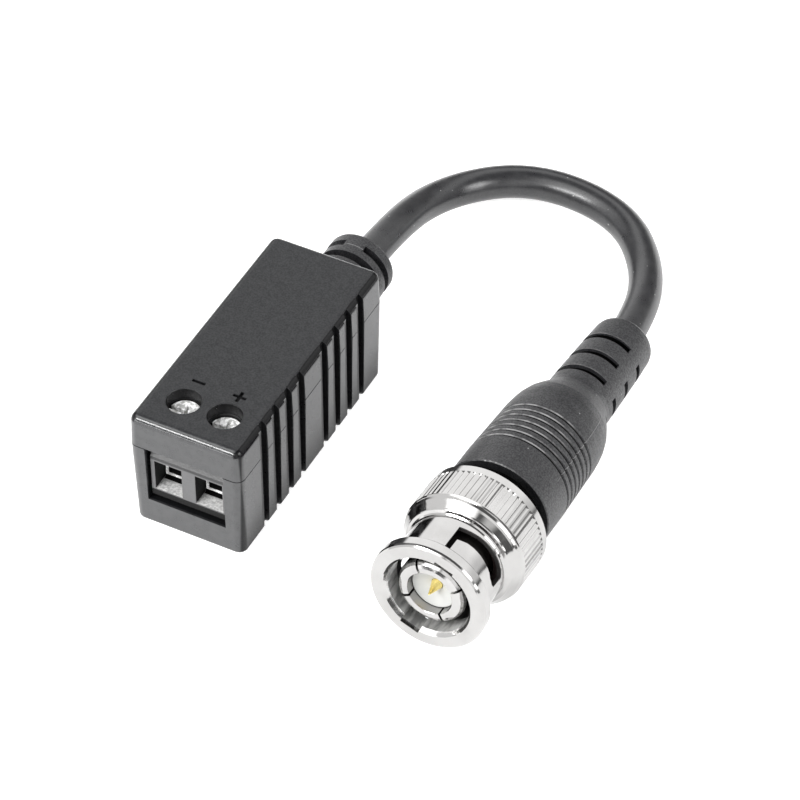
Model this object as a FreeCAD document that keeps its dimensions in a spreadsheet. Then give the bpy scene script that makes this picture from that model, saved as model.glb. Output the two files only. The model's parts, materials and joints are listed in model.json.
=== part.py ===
import FreeCAD, Part
import Sketcher
import math
import os

# Passive two-wire to coaxial video adapter: a small two-shell case with a
# two-pole screw terminal, and a short coaxial lead with a bayonet plug.
# Frame: millimetres, +Z up, origin under the middle of the case, the wire
# entries face -Y, the lead leaves at +Y and the plug lies at +X.

V = FreeCAD.Vector
doc = FreeCAD.newDocument("video_balun")
sheet = doc.addObject("Spreadsheet::Sheet", "dims")

DIMS = [
    # case
    ("case_width", 14.0), ("case_length", 33.2), ("case_height", 15.7),
    ("seam_height", 11.4), ("base_draft", 1.1), ("cover_draft", 1.4),
    ("wall", 1.5), ("floor_thick", 1.5), ("roof_thick", 1.5),
    ("corner_radius", 1.05), ("top_radius", 0.95), ("bottom_radius", 0.35),
    ("window_left", 5.0), ("window_right", 4.75), ("window_sill", 3.6),
    ("groove_depth", 0.7), ("groove_mouth", 1.15), ("groove_lead_in", 0.6), ("lead_in_depth", 0.2),
    ("groove_ripple", 0.12), ("seam_bevel", 0.12),
    ("groove_pitch", 2.85), ("groove_front", -10.97), ("groove_rear", 2.93),
    ("exit_slot", 6.4), ("exit_sill", 4.2), ("rib_gap", 4.3),
    ("tongue_in", 4.7), ("tongue_out", 5.4), ("tongue_drop", 1.2),
    # terminal block
    ("pole_pitch", 5.08), ("screw_y", -11.78), ("access_radius", 2.0),
    ("block_half", 4.7), ("block_front", -15.95), ("block_back", -8.5),
    ("board_top", 4.2), ("board_thick", 1.0), ("block_top", 14.1),
    ("entry_width", 3.4), ("entry_floor", 5.2), ("entry_roof", 9.4),
    ("well_radius", 1.98), ("frame_half", 1.55), ("frame_front", -13.9),
    ("frame_depth", 4.2), ("frame_floor", 5.68), ("frame_wall", 0.35),
    ("frame_top", 10.5), ("foot_top", 9.75), ("foot_height", 0.85),
    ("head_radius", 1.8), ("head_height", 1.1), ("head_top", 14.0),
    ("shank_radius", 0.9), ("plus_drop", 0.3),
    # polarity marks
    ("mark_y", -8.5), ("mark_long", 1.64), ("mark_wide", 0.42), ("mark_deep", 0.3),
    # case boot and lead
    ("lead_z", 7.4), ("lead_radius", 2.0), ("boot_radius", 4.15),
    ("boot_end", 24.8), ("boot_bore", 2.02),
    # plug
    ("yaw", 0.775), ("nose_up", 4.4), ("plug_x", 30.917), ("plug_y", -19.609), ("plug_z", 8.388),
    ("nut_flange", 6.87), ("nut_barrel", 5.78), ("nut_knurl", 7.3),
    ("nut_bore", 4.9), ("nut_length", 14.1), ("contact_radius", 4.03),
    ("contact_bore", 3.5), ("pin_radius", 0.675), ("mould_radius", 6.33),
    ("mould_front", 16.35), ("mould_end", 48.96),
]
VALUE = {}
for row, (name, value) in enumerate(DIMS, start=1):
    sheet.set("A%d" % row, name)
    sheet.set("B%d" % row, repr(value))
    sheet.setAlias("B%d" % row, name)
    VALUE[name] = value
doc.recompute()


class Q:
    """A length that carries its value and the sheet expression behind it."""
    def __init__(self, v, e):
        self.v = float(v)
        self.e = e

    def __add__(self, o): o = q(o); return Q(self.v + o.v, "(%s + %s)" % (self.e, o.e))
    def __sub__(self, o): o = q(o); return Q(self.v - o.v, "(%s - %s)" % (self.e, o.e))
    def __mul__(self, o): o = q(o); return Q(self.v * o.v, "(%s * %s)" % (self.e, o.e))
    def __truediv__(self, o): o = q(o); return Q(self.v / o.v, "(%s / %s)" % (self.e, o.e))
    def __radd__(self, o): return q(o) + self
    def __rsub__(self, o): return q(o) - self
    def __rmul__(self, o): return q(o) * self
    def __neg__(self): return Q(-self.v, "(0 - %s)" % self.e)


def q(o):
    return o if isinstance(o, Q) else Q(o, "(%r)" % float(o))


class Dims:
    def __getattr__(self, name):
        return Q(VALUE[name], "dims." + name)


d = Dims()


def bind(obj, prop, value):
    value = q(value)
    if hasattr(obj, prop):
        setattr(obj, prop, value.v)
    if "dims." in value.e:
        obj.setExpression(prop, value.e)


def put(obj, x=0, y=0, z=0, rot=None):
    x, y, z = q(x), q(y), q(z)
    obj.Placement = FreeCAD.Placement(V(x.v, y.v, z.v), rot or FreeCAD.Rotation())
    for axis, value in (("x", x), ("y", y), ("z", z)):
        if "dims." in value.e:
            obj.setExpression(".Placement.Base." + axis, value.e)


def box(name, x0, x1, y0, y1, z0, z1):
    x0, x1, y0, y1, z0, z1 = [q(t) for t in (x0, x1, y0, y1, z0, z1)]
    o = doc.addObject("Part::Box", name)
    bind(o, "Length", x1 - x0)
    bind(o, "Width", y1 - y0)
    bind(o, "Height", z1 - z0)
    put(o, x0, y0, z0)
    return o


def cyl(name, r, h, x=0, y=0, z=0, rot=None, angle=360):
    o = doc.addObject("Part::Cylinder", name)
    bind(o, "Radius", r)
    bind(o, "Height", h)
    o.Angle = angle
    put(o, x, y, z, rot)
    return o


def fuse(name, parts):
    o = doc.addObject("Part::MultiFuse", name)
    o.Shapes = parts
    return o


def cut(name, base, tool):
    o = doc.addObject("Part::Cut", name)
    o.Base = base
    o.Tool = tool
    return o


ALONG_Y = FreeCAD.Rotation(V(1, 0, 0), -90)     # local Z turned to +Y
BACK_Y = FreeCAD.Rotation(V(1, 0, 0), 90)       # local Z turned to -Y
NODES = []


def node(obj, label):
    obj.Label = label
    NODES.append((obj, label))
    return obj


# ---- PartDesign helpers --------------------------------------------------
def body(name):
    return doc.addObject("PartDesign::Body", name)


def origin(b, role):
    for f in b.Origin.OriginFeatures:
        if f.Role == role:
            return f


def sketch(b, name, role, offset=0):
    s = b.newObject("Sketcher::SketchObject", name)
    s.AttachmentSupport = [(origin(b, role), "")]
    s.MapMode = "FlatFace"
    offset = q(offset)
    s.AttachmentOffset = FreeCAD.Placement(V(0, 0, offset.v), FreeCAD.Rotation())
    if "dims." in offset.e:
        s.setExpression(".AttachmentOffset.Base.z", offset.e)
    return s


def fixpoint(s, geo, pos, x, y, tag):
    x, y = q(x), q(y)
    if abs(x.v) < 1e-9:
        s.addConstraint(Sketcher.Constraint("PointOnObject", geo, pos, -2))
    else:
        i = s.addConstraint(Sketcher.Constraint("DistanceX", geo, pos, x.v))
        s.renameConstraint(i, "x" + tag)
        if "dims." in x.e:
            s.setExpression("Constraints.x" + tag, x.e)
    if abs(y.v) < 1e-9:
        s.addConstraint(Sketcher.Constraint("PointOnObject", geo, pos, -1))
    else:
        i = s.addConstraint(Sketcher.Constraint("DistanceY", geo, pos, y.v))
        s.renameConstraint(i, "y" + tag)
        if "dims." in y.e:
            s.setExpression("Constraints.y" + tag, y.e)


def poly(s, pts, tag="p"):
    pts = [(q(x), q(y)) for x, y in pts]
    n = len(pts)
    ids = []
    for i in range(n):
        a, b = pts[i], pts[(i + 1) % n]
        ids.append(s.addGeometry(Part.LineSegment(V(a[0].v, a[1].v, 0), V(b[0].v, b[1].v, 0)), False))
    for i in range(n):
        s.addConstraint(Sketcher.Constraint("Coincident", ids[i], 2, ids[(i + 1) % n], 1))
    for i in range(n):
        fixpoint(s, ids[i], 1, pts[i][0], pts[i][1], "%s%d" % (tag, i))


def rect(s, x0, x1, y0, y1, tag="r"):
    poly(s, [(x0, y0), (x1, y0), (x1, y1), (x0, y1)], tag)


def circle(s, x, y, r, tag):
    x, y, r = q(x), q(y), q(r)
    g = s.addGeometry(Part.Circle(V(x.v, y.v, 0), V(0, 0, 1), r.v), False)
    fixpoint(s, g, 3, x, y, tag)
    i = s.addConstraint(Sketcher.Constraint("Radius", g, r.v))
    s.renameConstraint(i, "rad" + tag)
    if "dims." in r.e:
        s.setExpression("Constraints.rad" + tag, r.e)


def pad(b, name, s, length, taper=None, back=False, mid=False):
    f = b.newObject("PartDesign::Pad", name)
    f.Profile = s
    bind(f, "Length", length)
    f.Reversed = back
    if mid:
        f.Midplane = True
    if taper is not None:
        bind(f, "TaperAngle", taper)
    b.Tip = f
    s.Visibility = False
    doc.recompute()
    return f


def pocket(b, name, s, length=None, back=False):
    before = b.Shape.Volume
    f = b.newObject("PartDesign::Pocket", name)
    f.Profile = s
    if length is None:
        f.Type = "ThroughAll"
    else:
        bind(f, "Length", length)
    f.Reversed = back
    b.Tip = f
    s.Visibility = False
    doc.recompute()
    if b.Shape.Volume > before - 1e-4:
        raise RuntimeError("pocket cuts nothing: " + name)
    return f


def edges_of(b, test):
    out = []
    for i, e in enumerate(b.Shape.Edges, start=1):
        if test(e):
            out.append("Edge%d" % i)
    return out


def round_edges(b, name, test, r, kind="PartDesign::Fillet"):
    names = edges_of(b, test)
    if not names:
        raise RuntimeError("no edge for " + name)
    base = b.Tip
    f = b.newObject(kind, name)
    f.Base = (base, names)
    if kind.endswith("Fillet"):
        bind(f, "Radius", r)
    else:
        bind(f, "Size", r)
    b.Tip = f
    doc.recompute()
    return f


def revolve(b, name, s):
    f = b.newObject("PartDesign::Revolution", name)
    f.Profile = s
    f.ReferenceAxis = (s, ["V_Axis"])
    f.Angle = 360
    b.Tip = f
    s.Visibility = False
    doc.recompute()
    return f


def box_of(e):
    return e.BoundBox


half_w = d.case_width / 2
half_l = d.case_length / 2
tan_b = math.tan(math.radians(VALUE["base_draft"]))
foot_w = half_w - d.seam_height * tan_b
foot_l = half_l - d.seam_height * tan_b
cover_h = d.case_height - d.seam_height

groove_y = [d.groove_front + d.groove_pitch * i for i in range(4)] + \
           [d.groove_rear + d.groove_pitch * i for i in range(4)]


def groove_sketch(s):
    """Eight grip grooves down each long side, deep on the right side, each behind a
    slightly lowered strip, and only a shallow ripple on the left."""
    m, out = d.groove_mouth / 2, half_w + 0.4
    for i, yc in enumerate(groove_y):
        deep, low, step = d.groove_depth, d.groove_ripple, d.lead_in_depth
        poly(s, [(out, yc - m - d.groove_lead_in), (out, yc + m), (half_w, yc + m), (half_w - deep, yc + m - 0.1),
                 (half_w - deep, yc - m + 0.25), (half_w - step, yc - m),
                 (half_w - step, yc - m - d.groove_lead_in + 0.12), (half_w, yc - m - d.groove_lead_in)], "gr%d_" % i)
        poly(s, [(-out, yc - m), (-out, yc + m), (-half_w, yc + m), (-half_w + low, yc + m - 0.2),
                 (-half_w + low, yc - m + 0.4), (-half_w, yc - m)], "gl%d_" % i)


# ---- case base ------------------------------------------------------------
b = body("base_body")
s = sketch(b, "base_foot", "XY_Plane")
rect(s, -foot_w, foot_w, -foot_l, foot_l)
pad(b, "base_block", s, d.seam_height, taper=d.base_draft)
if b.Shape.BoundBox.XLength < VALUE["case_width"] - 0.05:
    raise RuntimeError("base draft leans the wrong way: %.3f" % b.Shape.BoundBox.XLength)
round_edges(b, "base_corners", lambda e: box_of(e).ZLength > 5, d.corner_radius)
round_edges(b, "base_underside", lambda e: box_of(e).ZMax < 0.001, d.bottom_radius)
s = sketch(b, "base_cavity", "XY_Plane", d.seam_height)
rect(s, -(half_w - d.wall), half_w - d.wall, -(half_l - d.wall), half_l - d.wall)
pocket(b, "base_hollow", s, d.seam_height - d.floor_thick)
s = sketch(b, "base_window", "XZ_Plane")
rect(s, -d.window_left, d.window_right, d.window_sill, d.seam_height + 1)
pocket(b, "window_cut", s, half_l + 1, back=True)
if b.Shape.Solids[0].isInside(V(0, -VALUE["case_length"] / 2 + 0.8, 8), 0.001, True):
    raise RuntimeError("window is on the wrong wall")
s = sketch(b, "base_exit", "XZ_Plane")
rect(s, -d.exit_slot / 2, d.exit_slot / 2, d.exit_sill, d.seam_height + 1)
pocket(b, "exit_cut", s, half_l + 1)
if b.Shape.Solids[0].isInside(V(0, VALUE["case_length"] / 2 - 0.8, 8), 0.001, True):
    raise RuntimeError("exit slot is on the wrong wall")
s = sketch(b, "base_ribs", "XY_Plane", d.floor_thick - 0.2)
rect(s, d.rib_gap, half_w - d.wall + 0.2, -half_l + 2.6, q(9.2), "a")
rect(s, -(half_w - d.wall + 0.2), -d.rib_gap, -half_l + 2.6, q(9.2), "b")
pad(b, "board_ribs", s, d.board_top - d.board_thick - d.floor_thick + 0.2)
s = sketch(b, "base_grooves", "XY_Plane")
groove_sketch(s)
pocket(b, "base_grip", s, None, back=True)
node(b, "case_base")

# ---- case cover -----------------------------------------------------------
b = body("cover_body")
s = sketch(b, "cover_rim", "XY_Plane")
rect(s, -half_w, half_w, -half_l, half_l)
pad(b, "cover_block", s, cover_h, taper=-d.cover_draft)
top = b.Shape.BoundBox.ZMax
upper = [f for f in b.Shape.Faces if abs(f.BoundBox.ZMin - top) < 1e-6][0]
if upper.BoundBox.XLength > VALUE["case_width"] - 0.05:
    raise RuntimeError("cover draft leans the wrong way")
round_edges(b, "cover_corners", lambda e: box_of(e).ZLength > 2, d.corner_radius)
round_edges(b, "cover_shoulder", lambda e: box_of(e).ZMin > top - 0.001, d.top_radius)
round_edges(b, "cover_seam", lambda e: box_of(e).ZMax < 0.001, d.seam_bevel, "PartDesign::Chamfer")
s = sketch(b, "cover_cavity", "XY_Plane")
rect(s, -(half_w - d.wall), half_w - d.wall, -(half_l - d.wall), half_l - d.wall)
pocket(b, "cover_hollow", s, cover_h - d.roof_thick, back=True)
s = sketch(b, "cover_access", "XY_Plane", cover_h)
circle(s, -d.pole_pitch / 2, d.screw_y, d.access_radius, "m")
circle(s, d.pole_pitch / 2, d.screw_y, d.access_radius, "p")
pocket(b, "access_holes", s, d.roof_thick + 0.5)
s = sketch(b, "cover_marks", "XY_Plane", cover_h)
L2, W2, px = d.mark_long / 2, d.mark_wide / 2, d.pole_pitch / 2
rect(s, -px - L2, -px + L2, d.mark_y - W2, d.mark_y + W2, "minus")
poly(s, [(px - L2, d.mark_y - W2), (px - W2, d.mark_y - W2), (px - W2, d.mark_y - L2),
         (px + W2, d.mark_y - L2), (px + W2, d.mark_y - W2), (px + L2, d.mark_y - W2),
         (px + L2, d.mark_y + W2), (px + W2, d.mark_y + W2), (px + W2, d.mark_y + L2),
         (px - W2, d.mark_y + L2), (px - W2, d.mark_y + W2), (px - L2, d.mark_y + W2)], "plus")
pocket(b, "polarity_marks", s, d.mark_deep)
s = sketch(b, "tongue_root", "XY_Plane")
rect(s, d.tongue_in, half_w - d.wall + 0.1, q(-7.5), q(13.0), "a")
rect(s, -(half_w - d.wall + 0.1), -d.tongue_in, q(-7.5), q(13.0), "b")
pad(b, "tongue_base", s, d.tongue_drop)
s = sketch(b, "tongue_lip", "XY_Plane")
rect(s, d.tongue_in, d.tongue_out, q(-7.5), q(13.0), "a")
rect(s, -d.tongue_out, -d.tongue_in, q(-7.5), q(13.0), "b")
pad(b, "tongues", s, d.tongue_drop, back=True)
s = sketch(b, "cover_grooves", "XY_Plane", -2)
groove_sketch(s)
pocket(b, "cover_grip", s, None, back=True)
put(b, 0, 0, d.seam_height)
node(b, "case_cover")

# ---- circuit board --------------------------------------------------------
pole = {"minus": -d.pole_pitch / 2, "plus": d.pole_pitch / 2}
board = box("board_blank", -5.2, 5.2, -15.0, 9.4, d.board_top - d.board_thick, d.board_top)
holes = [cyl("pin_hole_" + k, 0.75, 3, x, -9.45, d.board_top - 2) for k, x in pole.items()]
holes.append(cyl("core_hole", 0.4, 3, 0, 8.0, d.board_top - 2))
holes.append(cyl("braid_hole", 0.65, 3, 3.2, 8.0, d.board_top - 2))
board = cut("board_drilled", board, fuse("board_holes", holes))
node(board, "circuit_board")

# ---- terminal block housing ------------------------------------------------
b = body("block_body")
s = sketch(b, "block_side", "YZ_Plane")
fy, by = d.block_front, d.block_back
poly(s, [(fy, d.board_top), (by, d.board_top), (by, d.block_top - 0.4), (by - 0.4, d.block_top),
         (fy + 1.9, d.block_top), (fy + 1.35, d.entry_roof + 0.5), (fy + 0.62, d.entry_roof + 0.5),
         (fy + 0.55, d.entry_roof + 0.98), (fy + 0.33, d.entry_roof + 0.98), (fy, d.entry_roof + 0.64)], "s")
pad(b, "block_solid", s, d.block_half * 2, mid=True)
if abs(b.Shape.BoundBox.XMax + b.Shape.BoundBox.XMin) > 0.01:
    raise RuntimeError("terminal block is off centre")
tools = []
for k, x in pole.items():
    tools.append(box("entry_" + k, x - d.entry_width / 2, x + d.entry_width / 2, fy - 1, d.frame_front,
                     d.entry_floor, d.entry_roof))
    tools.append(box("chamber_" + k, x - d.frame_half - 0.1, x + d.frame_half + 0.1,
                     d.frame_front - 0.3, d.frame_front + d.frame_depth + 0.75, d.entry_floor - 0.5, d.frame_top + 0.15))
    tools.append(cyl("well_" + k, d.well_radius, 5, x, d.screw_y, d.frame_top + 0.1))
    tools.append(box("tail_slot_" + k, x - 0.6, x + 0.6, q(-9.8), q(-9.1), d.board_top - 1, d.entry_floor + 0.5))
block = cut("block_cut", b, fuse("block_tools", tools))
node(block, "terminal_block_housing")

# ---- clamp frames, pressure feet and screws ---------------------------------
for k, x in pole.items():
    fh, ff, fd, fw = d.frame_half, d.frame_front, d.frame_depth, d.frame_wall
    shell = box("frame_shell_" + k, x - fh, x + fh, ff, ff + fd, d.frame_floor, d.frame_top)
    hollow = box("frame_hollow_" + k, x - fh + fw, x + fh - fw, ff - 1, ff + fd + 1,
                 d.frame_floor + fw, d.frame_top - 0.7)
    thread = cyl("frame_thread_" + k, d.shank_radius + 0.05, 3, x, d.screw_y, d.frame_top - 1.5)
    frame = cut("frame_open_" + k, shell, fuse("frame_tools_" + k, [hollow, thread]))
    leg = box("frame_leg_" + k, x - 0.5, x + 0.5, ff + fd - 0.1, ff + fd + 0.5, d.frame_floor, d.frame_floor + fw)
    tail = box("frame_tail_" + k, x - 0.5, x + 0.5, ff + fd + 0.05, ff + fd + 0.55, q(2.4), d.frame_floor + fw)
    node(fuse("clamp_" + k, [frame, leg, tail]), "clamp_frame_" + k)
    drop = d.plus_drop if k == "plus" else q(0)
    ft = d.foot_top - drop
    foot = box("foot_plate_" + k, x - 0.9, x + 0.9, ff + 0.15, ff + fd - 0.15, ft - d.foot_height, ft)
    vee = box("foot_vee_" + k, q(-0.45), q(0.45), q(-3), q(3), q(-0.45), q(0.45))
    vee.Placement = FreeCAD.Placement(V(x.v, VALUE["screw_y"], ft.v - VALUE["foot_height"]),
                                      FreeCAD.Rotation(V(0, 1, 0), 45))
    node(cut("foot_cut_" + k, foot, vee), "pressure_foot_" + k)
    ht = d.head_top - drop
    head = cyl("head_" + k, d.head_radius, d.head_height, x, d.screw_y, ht - d.head_height)
    shank = cyl("shank_" + k, d.shank_radius, ht - d.head_height - ft, x, d.screw_y, ft)
    screw = fuse("screw_blank_" + k, [head, shank])
    slot_a = box("slot_a_" + k, x - 2.5, x + 2.5, d.screw_y - 0.24, d.screw_y + 0.24, ht - 0.6, ht + 1)
    slot_b = box("slot_b_" + k, x - 0.24, x + 0.24, d.screw_y - 1.05, d.screw_y + 1.05, ht - 0.75, ht + 1)
    node(cut("screw_cut_" + k, screw, fuse("slots_" + k, [slot_a, slot_b])), "terminal_screw_" + k)

# ---- transformer and small parts on the board --------------------------------
cy = -3.1
core = cut("core_cut", cyl("core_outer", 4.05, 3.4, 0, cy, d.board_top + 0.45),
           cyl("core_inner", 2.0, 6, 0, cy, d.board_top - 1))
node(core, "ferrite_core")
for k, a0 in (("a", 15.0), ("b", 195.0)):
    rot = FreeCAD.Rotation(V(0, 0, 1), a0)
    wrap = cyl("wrap_" + k, 4.5, 4.3, 0, cy, d.board_top, rot, 150)
    eye = cyl("wrap_eye_" + k, 1.55, 8, 0, cy, d.board_top - 1)
    seat = cut("wrap_seat_" + k, cyl("seat_outer_" + k, 4.06, 3.42, 0, cy, d.board_top + 0.44),
               cyl("seat_inner_" + k, 1.99, 8, 0, cy, d.board_top - 1))
    node(cut("wrap_cut_" + k, wrap, fuse("wrap_tools_" + k, [eye, seat])), "winding_" + k)
node(box("arrester_box", -4.6, -1.2, 3.2, 5.8, d.board_top, d.board_top + 2.2), "surge_arrester")
node(box("capacitor_box", 0.4, 2.4, 3.0, 4.2, d.board_top, d.board_top + 0.9), "chip_capacitor")
node(box("resistor_box", 0.4, 2.4, 5.0, 6.2, d.board_top, d.board_top + 0.6), "chip_resistor")

# ---- end of the lead inside the case -----------------------------------------
jacket_in = q(15.6)
core_a = cut("case_core_bore", cyl("case_core_rod", 1.0, 4.8, 0, jacket_in, d.lead_z, BACK_Y),
             cyl("case_core_hole", 0.3, 7, 0, jacket_in + 1, d.lead_z, BACK_Y))
node(core_a, "lead_insulation_case")
wire = fuse("case_wire_join", [
    cyl("case_wire_run", 0.28, jacket_in - 8.0, 0, jacket_in, d.lead_z, BACK_Y),
    cyl("case_wire_drop", 0.28, d.lead_z - 3.6, 0, 8.0, q(3.6)),
    (lambda o: (bind(o, "Radius", 0.28), put(o, 0, 8.0, d.lead_z), o)[2])(doc.addObject("Part::Sphere", "case_wire_bend"))])
node(wire, "lead_wire_case")
braid = fuse("case_braid_join", [
    cyl("case_braid_run", 0.45, jacket_in - 8.0, 1.48, jacket_in, d.lead_z, BACK_Y),
    (lambda o: (bind(o, "Radius", 0.45), put(o, 1.48, 8.0, d.lead_z), o)[2])(doc.addObject("Part::Sphere", "case_braid_bend")),
    cyl("case_braid_side", 0.45, 1.72, 1.48, 8.0, d.lead_z, FreeCAD.Rotation(V(0, 1, 0), 90)),
    (lambda o: (bind(o, "Radius", 0.45), put(o, 3.2, 8.0, d.lead_z), o)[2])(doc.addObject("Part::Sphere", "case_braid_knee")),
    cyl("case_braid_drop", 0.45, d.lead_z - 3.6, 3.2, 8.0, q(3.6))])
node(braid, "lead_braid_case")

# ---- strain relief at the case -------------------------------------------------
b = body("boot_body")
s = sketch(b, "boot_profile", "XZ_Plane")
R, zb = d.boot_radius, half_l
poly(s, [(0, zb + 0.02), (R, zb + 0.02), (R, d.boot_end - 0.35), (R - 0.1, d.boot_end - 0.1),
         (R - 0.35, d.boot_end), (0, d.boot_end)], "b")
revolve(b, "boot_turned", s)
b.Placement = FreeCAD.Placement(V(0, 0, VALUE["lead_z"]), ALONG_Y)
b.setExpression(".Placement.Base.z", "dims.lead_z")
neck = box("boot_neck", -d.exit_slot / 2 + 0.05, d.exit_slot / 2 - 0.05, half_l - d.wall - 0.1, half_l + 0.3,
           d.exit_sill + 0.05, d.seam_height - 0.05)
flange = box("boot_flange", -4.3, 4.3, half_l - d.wall - 0.95, half_l - d.wall - 0.05,
             d.exit_sill + 0.05, d.seam_height - 0.05)
blank = fuse("boot_blank", [b, neck, flange])
mouth = doc.addObject("Part::Cone", "boot_mouth")
bind(mouth, "Radius1", d.boot_bore)
bind(mouth, "Radius2", d.boot_bore + 0.4)
mouth.Height = 1.6
put(mouth, 0, d.boot_end - 1.5, d.lead_z, ALONG_Y)
tools = [cyl("boot_through", d.boot_bore, 14, 0, q(13.2), d.lead_z, ALONG_Y), mouth]
# relief slots: pairs of arcs, turned a quarter from one station to the next
for i, (y0, y1, webs) in enumerate(((18.35, 19.3, 90), (20.55, 21.55, 0), (22.5, 23.4, 90))):
    for j in (0, 1):
        start = webs + 17 + 180 * j
        # local Z runs along +Y, so the drawn angle turns the other way round
        rot = ALONG_Y.multiply(FreeCAD.Rotation(V(0, 0, 1), -(start + 146)))
        sector = cyl("boot_sector_%d%d" % (i, j), 5.2, y1 - y0, 0, y0, d.lead_z, rot, 146)
        keep = cyl("boot_keep_%d%d" % (i, j), 2.75, 4, 0, y0 - 1, d.lead_z, ALONG_Y)
        tools.append(cut("boot_slot_%d%d" % (i, j), sector, keep))
node(cut("boot_cut", blank, fuse("boot_tools", tools)), "case_strain_relief")

# ---- plug frame: local Z is the station behind the mouth, local X is sideways --
yaw, lift = math.radians(VALUE["yaw"]), math.radians(VALUE["nose_up"])
ax_a = V(math.sin(yaw) * math.cos(lift), math.cos(yaw) * math.cos(lift), -math.sin(lift))
ax_s = V(math.cos(yaw), -math.sin(yaw), 0)
ax_d = ax_a.cross(ax_s)
PLUG_ROT = FreeCAD.Rotation(ax_s, ax_d, ax_a, "ZXY")


def at_plug(obj):
    obj.Placement = FreeCAD.Placement(V(VALUE["plug_x"], VALUE["plug_y"], VALUE["plug_z"]), PLUG_ROT)
    for axis, name in (("x", "plug_x"), ("y", "plug_y"), ("z", "plug_z")):
        obj.setExpression(".Placement.Base." + axis, "dims." + name)
    return obj


def plug_point(station):
    return V(VALUE["plug_x"], VALUE["plug_y"], VALUE["plug_z"]) + ax_a * station


def turned(name, pts):
    bb = body(name)
    ss = sketch(bb, name + "_profile", "XZ_Plane")
    poly(ss, pts, "v")
    revolve(bb, name + "_turned", ss)
    return bb


def sector(name, r, z0, z1, a0, a1):
    """Wedge between two angles seen from the plug's mouth, 0 = sideways, 90 = up."""
    return cyl(name, r, q(z1) - q(z0), 0, 0, z0, FreeCAD.Rotation(V(0, 0, 1), -a1), a1 - a0)


def spoke(name, r0, r1, width, z0, z1, angle):
    o = box(name, r0, r1, -q(width) / 2, q(width) / 2, z0, z1)
    rot = FreeCAD.Rotation(V(0, 0, 1), -angle)
    base = rot.multVec(V(q(r0).v, -q(width).v / 2, q(z0).v))
    o.setExpression(".Placement.Base.x", None)
    o.setExpression(".Placement.Base.y", None)
    o.setExpression(".Placement.Base.z", None)
    o.Placement = FreeCAD.Placement(base, rot)
    return o


LAST = 39.4         # station where the outer jacket of the lead begins

# ---- coupling nut ---------------------------------------------------------------
def prism(name, mid, pts):
    """Radial cutter through the barrel; points are (angle, station) on its surface."""
    m = math.radians(mid)
    r0 = 4.55
    out, side = V(math.cos(m), -math.sin(m), 0), V(-math.sin(m), -math.cos(m), 0)
    corners = [out * r0 + side * (VALUE["nut_barrel"] * math.sin(math.radians(a - mid))) + V(0, 0, z) for a, z in pts]
    outline = doc.addObject("Part::Polygon", name + "_outline")
    outline.Nodes = corners
    outline.Close = True
    solid = doc.addObject("Part::Extrusion", name)
    solid.Base = outline
    solid.DirMode = "Custom"
    solid.Dir = out
    solid.LengthFwd = 1.75
    solid.Solid = True
    return solid


F, B, K, N, Z = d.nut_flange, d.nut_barrel, d.nut_knurl, d.nut_bore, d.nut_length
nut = turned("nut", [
    (N + 0.36, 0), (F - 0.42, 0), (F - 0.24, 0.04), (F - 0.08, 0.2), (F, 0.45), (F, 1.5), (F - 0.1, 1.63), (B + 0.16, 1.65),
    (B, 1.85), (B, 6.83), (B + 0.05, 6.96), (B + 0.2, 7.1), (B + 0.5, 7.21), (B + 0.58, 7.29), (B + 0.66, 7.42),
    (B + 1.12, 8.03), (B + 1.3, 8.22), (K - 0.1, 8.46), (K - 0.2, 8.54), (K - 0.1, 8.62), (K, 8.76), (K, Z - 0.2), (K - 0.22, Z),
    (q(5.95), Z), (q(5.95), q(13.45)), (q(6.35), q(13.45)), (q(6.35), q(12.88)), (q(5.95), q(12.88)), (q(5.95), q(9.95)),
    (N, q(9.95)), (N, q(8.3)), (q(5.2), q(8.0)), (q(5.2), q(2.9)), (N, q(2.6)), (N, q(0.55)), (N + 0.3, q(0.08))])
s = sketch(nut, "knurl_notch", "XY_Plane", 8.85)
poly(s, [(K + 0.1, -0.40), (K + 0.1, 0.40), (K - 0.13, 0.07), (K - 0.13, -0.07)], "k")
f = pocket(nut, "knurl_cut", s, q(12.97) - 8.85, back=True)
pp = nut.newObject("PartDesign::PolarPattern", "knurl_ring")
pp.Originals = [f]
pp.Axis = (origin(nut, "Z_Axis"), [""])
pp.Angle = 360
pp.Occurrences = 65
before = nut.Shape.Volume
nut.Tip = pp
doc.recompute()
if nut.Shape.Volume > before - 0.5:
    raise RuntimeError("knurl pattern did not cut")
tools = []
for j in (0, 180):
    tools.append(prism("bayonet_ramp_%d" % j, 72 + j, [(83.7 + j, 2.4), (83.7 + j, 5.95), (67 + j, 6.22), (58 + j, 6.38),
                                                       (58 + j, 4.55), (66 + j, 4.5), (77.3 + j, 4.18), (77.3 + j, 2.4)]))
    tools.append(prism("bayonet_run_%d" % j, 46 + j, [(60 + j, 6.35), (51 + j, 6.44), (31 + j, 6.5), (31 + j, 4.36),
                                                      (48 + j, 4.54), (60 + j, 4.55)]))
    tools.append(prism("bayonet_seat_%d" % j, 20 + j, [(33 + j, 6.5), (16 + j, 6.46), (6.5 + j, 6.1), (7.2 + j, 4.3),
                                                       (12 + j, 4.05), (21 + j, 4.05), (26 + j, 4.27), (33 + j, 4.38)]))
    tools.append(spoke("lug_channel_%d" % j, 4.0, 5.48, 2.3, -1, 4.6, 70 + j))
nut_cut = cut("nut_cut", nut, fuse("nut_tools", tools))
node(at_plug(nut_cut), "coupling_nut")

node(at_plug(turned("ring", [(5.0, 12.93), (6.3, 12.93), (6.3, 13.4), (5.0, 13.4)])), "retaining_ring")
node(at_plug(turned("washer", [(4.5, 12.52), (5.85, 12.52), (5.85, 12.87), (4.5, 12.87)])), "thrust_washer")
node(at_plug(turned("spring", [(4.55, 11.1), (5.75, 11.25), (5.75, 11.55), (4.55, 11.4)])), "wave_spring")

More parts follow.
